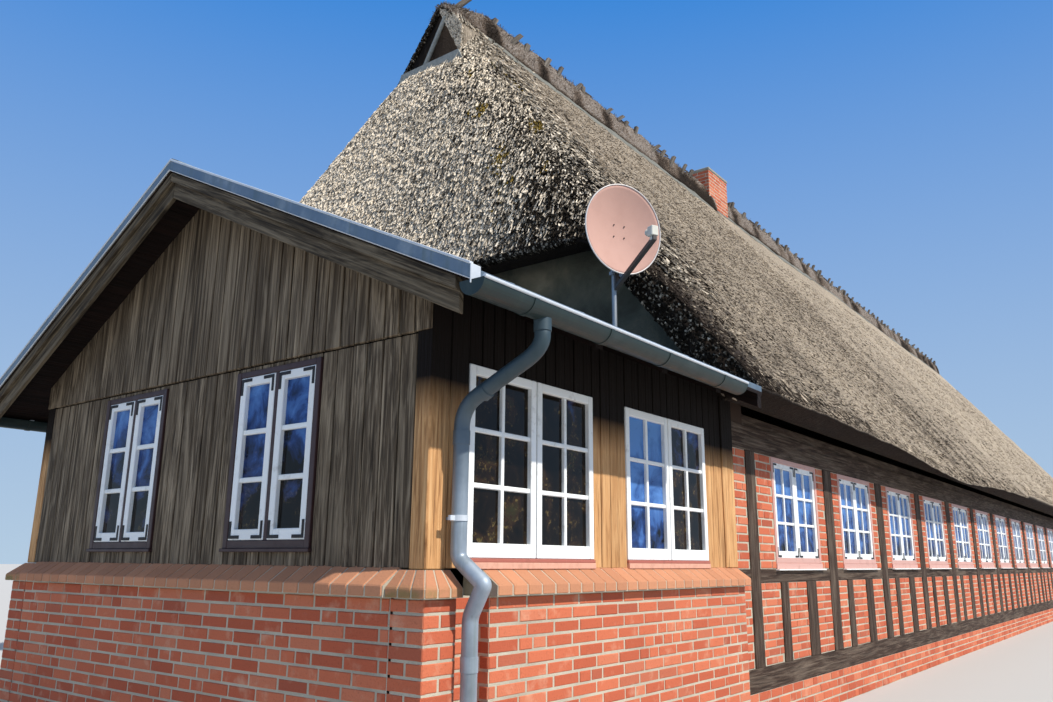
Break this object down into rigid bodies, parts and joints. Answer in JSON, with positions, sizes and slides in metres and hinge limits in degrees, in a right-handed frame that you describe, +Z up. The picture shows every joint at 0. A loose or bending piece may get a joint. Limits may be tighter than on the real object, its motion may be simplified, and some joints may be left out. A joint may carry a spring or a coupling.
{
  "type": "thatched cottage",
  "caption": "Long thatched farmhouse with a half-hipped roof, heather ridge roll and chimney, timber-framed brick walls, and a boarded annex with a low metal roof.",
  "frame": {"origin": "middle of the outer box's footprint, at ground level", "axes": "+X runs along the house from the annex gable to the far hip, -Y is the long side with the window row that the picture shows, +Z is up"},
  "size_m": [36.25, 9.352, 9.08],
  "materials": {
    "thatch": "weathered reed",
    "heather": "rough heather",
    "brick": "facing brick with light mortar",
    "stucco": "weathered render",
    "boards": "weathered boards",
    "timber": "stained timber",
    "zinc": "dull sheet metal",
    "window_paint": "white paint",
    "glass": "clear",
    "dish_shell": "matte paint",
    "steel": "galvanised",
    "floor": "brick floor",
    "lip": "concrete"
  },
  "bodies": {
    "root": {"annex_back_window_1": "window_paint", "annex_back_window_1_glass": "glass", "annex_back_window_2": "window_paint", "annex_back_window_2_glass": "glass", "annex_floor": "floor", "annex_front_window_1": "window_paint", "annex_front_window_1_glass": "glass", "annex_front_window_2": "window_paint", "annex_front_window_2_glass": "glass", "annex_gable_window_1": "window_paint", "annex_gable_window_1_glass": "glass", "annex_gable_window_2": "window_paint", "annex_gable_window_2_glass": "glass", "annex_pier_back": "brick", "annex_pier_front": "brick", "annex_plinth_back": "brick", "annex_plinth_front": "brick", "annex_plinth_gable": "brick", "annex_post_back": "timber", "annex_post_front": "timber", "annex_roof_back": "zinc", "annex_roof_front": "zinc", "annex_sill_back": "brick", "annex_sill_front": "brick", "annex_sill_gable": "brick", "annex_wall_back": "boards", "annex_wall_front": "boards", "annex_wall_gable": "boards", "back_glass": "glass", "back_wall": "brick", "back_wall_plate": "timber", "bargeboard_back": "timber", "bargeboard_front": "timber", "chimney_cap": "lip", "chimney_stack": "brick", "dish": "dish_shell", "dish_arm": "steel", "dish_mast": "steel", "downpipe_front": "zinc", "far_end_glass": "glass", "far_end_wall": "brick", "far_wall_plate": "timber", "front_glass": "glass", "front_wall": "brick", "front_wall_plate": "timber", "gutter_back": "zinc", "gutter_front": "zinc", "main_floor": "floor", "near_corner_back": "timber", "near_corner_front": "timber", "near_end_glass": "glass", "near_end_wall": "stucco", "owl_gable": "boards", "owl_sill": "boards", "ridge_roll": "heather", "thatch_back": "thatch", "thatch_far_hip": "thatch", "thatch_front": "thatch", "thatch_near_hip": "thatch"}
  },
  "joints": []
}
